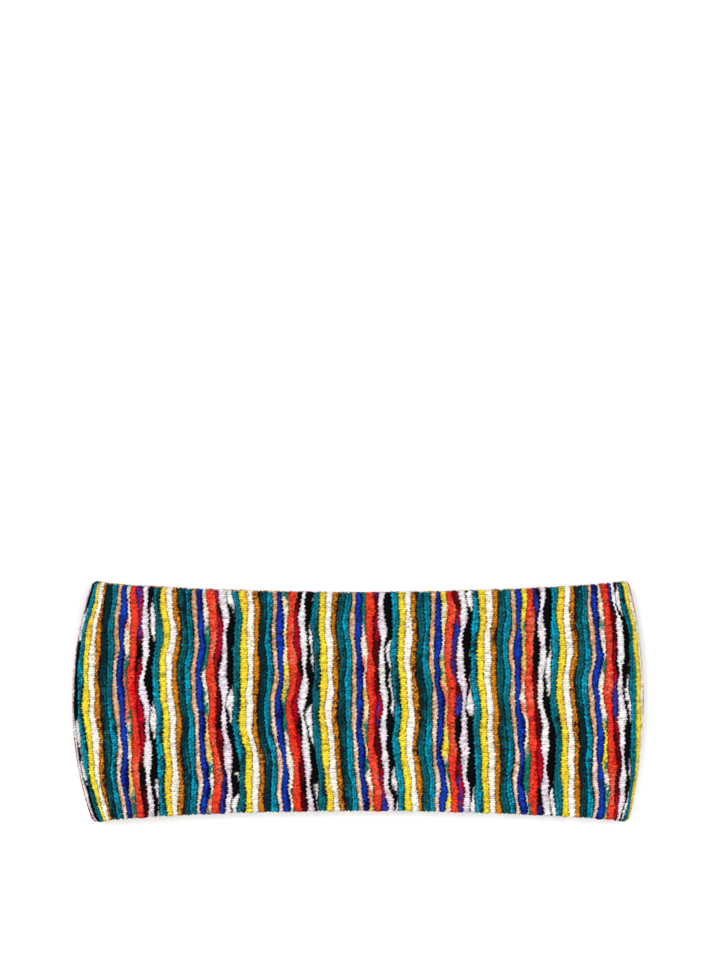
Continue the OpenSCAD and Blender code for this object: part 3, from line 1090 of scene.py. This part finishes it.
# %% Sew the seam
SEAM_STITCHES = 26
STITCH_POINTS = 9
STITCH_REACH = 1.9
EDGE_PITCH = 2.3
STITCH_R, OVERCAST_R = 0.2, 0.15
STITCH_RISE, STITCH_DROP, STITCH_SLANT = 0.12, 0.5, 0.35
EDGE_END = 0.6                   # the overcast stops this far before the seam's ends
EDGE_IN, EDGE_SWING = 0.45, 0.75
EDGE_RISE, EDGE_DROP = 0.3, 0.55
seam_y = (np.arange(SEAM_STITCHES) + 0.5) / SEAM_STITCHES * 2 * LEAF_H - LEAF_H
leaf_top = LEAF_FOOT + LEAF_T
swing = np.linspace(-1, 1, STITCH_POINTS)
arch = leaf_top + STITCH_RISE - STITCH_DROP * np.abs(swing) ** 6
crossings = [np.stack([STITCH_REACH * swing, y + STITCH_SLANT * swing, arch], -1) for y in seam_y]
seam_thread = thread_piece("seam_crossing_stitches", crossings, spun_finish, STITCH_R)
loops = round(2 * (LEAF_H - EDGE_END) / EDGE_PITCH)
turn = np.linspace(0, 1, loops * 10 + 1)
edge_paths = []
for side in (1, -1):
    swing = np.cos(math.tau * loops * turn)
    x = side * (LEAF_W - EDGE_IN + EDGE_SWING * swing)
    depth = leaf_top + EDGE_RISE - EDGE_DROP * np.clip(swing, 0, 1) ** 2
    edge_paths.append(np.stack([x, (LEAF_H - EDGE_END) * (2 * turn - 1), depth], -1))
overcast = thread_piece("seam_overcast_edges", edge_paths, spun_finish, OVERCAST_R)
for piece in (seam_thread, overcast):
    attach(piece, "back_centre")
    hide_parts("seam_thread")
print(SEAM_STITCHES, "stitches across the seam and", loops, "loops down each raw edge")

# %% [markdown]
# ## The care label
#
# Beside the seam sits a small woven label. It is left blank. It is a satin tape, so its face has fine
# slanting floats and a soft gloss, and two rows of grey stitches hold it to the lining.

# %% Finish of the label
tape = Finish("label_tape", Sheen_Weight=0.1, Specular_IOR_Level=0.5)
tape_x, tape_y = tape.across_and_along("knit")
floats = (tape_x + tape_y * 0.4).sine() * (0.5 + 0.5 * tape_y.sine())
# Lighter on the floats and darker between them: painted shade.
tape_colour = tape.mix(floats, (0.62, 0.61, 0.57, 1), (0.86, 0.85, 0.81, 1))
tape_finish = tape.finish_with(tape_colour, 0.35 + 0.2 * floats, floats, 0.00005)
print("label finish:", len(tape.tree.nodes), "nodes")

# %% Lay the label
back_right = [length for length in LENGTHS if length.name == "back_centre_right"][0]
label_low, label_high = (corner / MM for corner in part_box("care_label"))
LABEL_FOOT = LINING_INNER + WALE_H + 0.04
LABEL_T = 0.3
LABEL_GAP = 0.4                  # between the label and the seam end
PILLOW, LIFTED_END = 0.18, 0.14  # its middle and its free end rise this much
FLOAT = (0.35, 0.35)
x = np.linspace(label_low.x + LABEL_GAP, label_high.x, 29)[:, None]
y = np.linspace(label_low.y, label_high.y, 23)[None]
label_share = (x - x[0]) / (x[-1] - x[0])
pillow = PILLOW * np.sin(math.pi * label_share) ** 0.5
pillow = pillow + LIFTED_END * label_share**4 * np.cos(3 * y / label_high.y)
foot, face = (
    np.stack(np.broadcast_arrays(x, y, LABEL_FOOT + pillow * lift + rise), -1)
    for lift, rise in ((0.5, 0), (1, LABEL_T))
)
label = slab_piece("woven_label", foot, face, tape_finish, knit_vector(x, y, FLOAT))
bend(label, back_right)
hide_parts("care_label")
print("label", round(label_high.x - label_low.x, 1), "by", round(label_high.y - label_low.y, 1), "mm")

# %% Stitch the label down
# The dark tone of a thread is its painted shade in the twist.
GREY_DARK, GREY_LIGHT = (0.16, 0.16, 0.17, 1), (0.34, 0.34, 0.35, 1)
grey_finish = thread_finish("label_thread", 0.4, 1.8, GREY_DARK, GREY_LIGHT, 0.1, 0.00004)
DASH, DASH_STEP = 1.5, 2.1
DASH_R, DASH_RISE, DASH_ARCH = 0.12, 0.22, 0.12
ROW_IN, FIRST_IN, LAST_IN = 0.9, 1.2, 0.6      # the rows start and end this far inside the label's edges
dashes = []
for row_y in (label_low.y + ROW_IN, label_high.y - ROW_IN):
    for dash_x in np.arange(label_low.x + FIRST_IN, label_high.x - DASH - LAST_IN, DASH_STEP):
        swing = np.linspace(0, 1, 7)
        arch = LABEL_FOOT + LABEL_T + DASH_RISE + DASH_ARCH * np.sin(math.pi * swing)
        dashes.append(np.stack([dash_x + DASH * swing, row_y + 0 * swing, arch], -1))
label_stitches = thread_piece("label_thread_rows", dashes, grey_finish, DASH_R)
bend(label_stitches, back_right)
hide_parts("label_stitches")
print(len(dashes), "stitches hold the label")
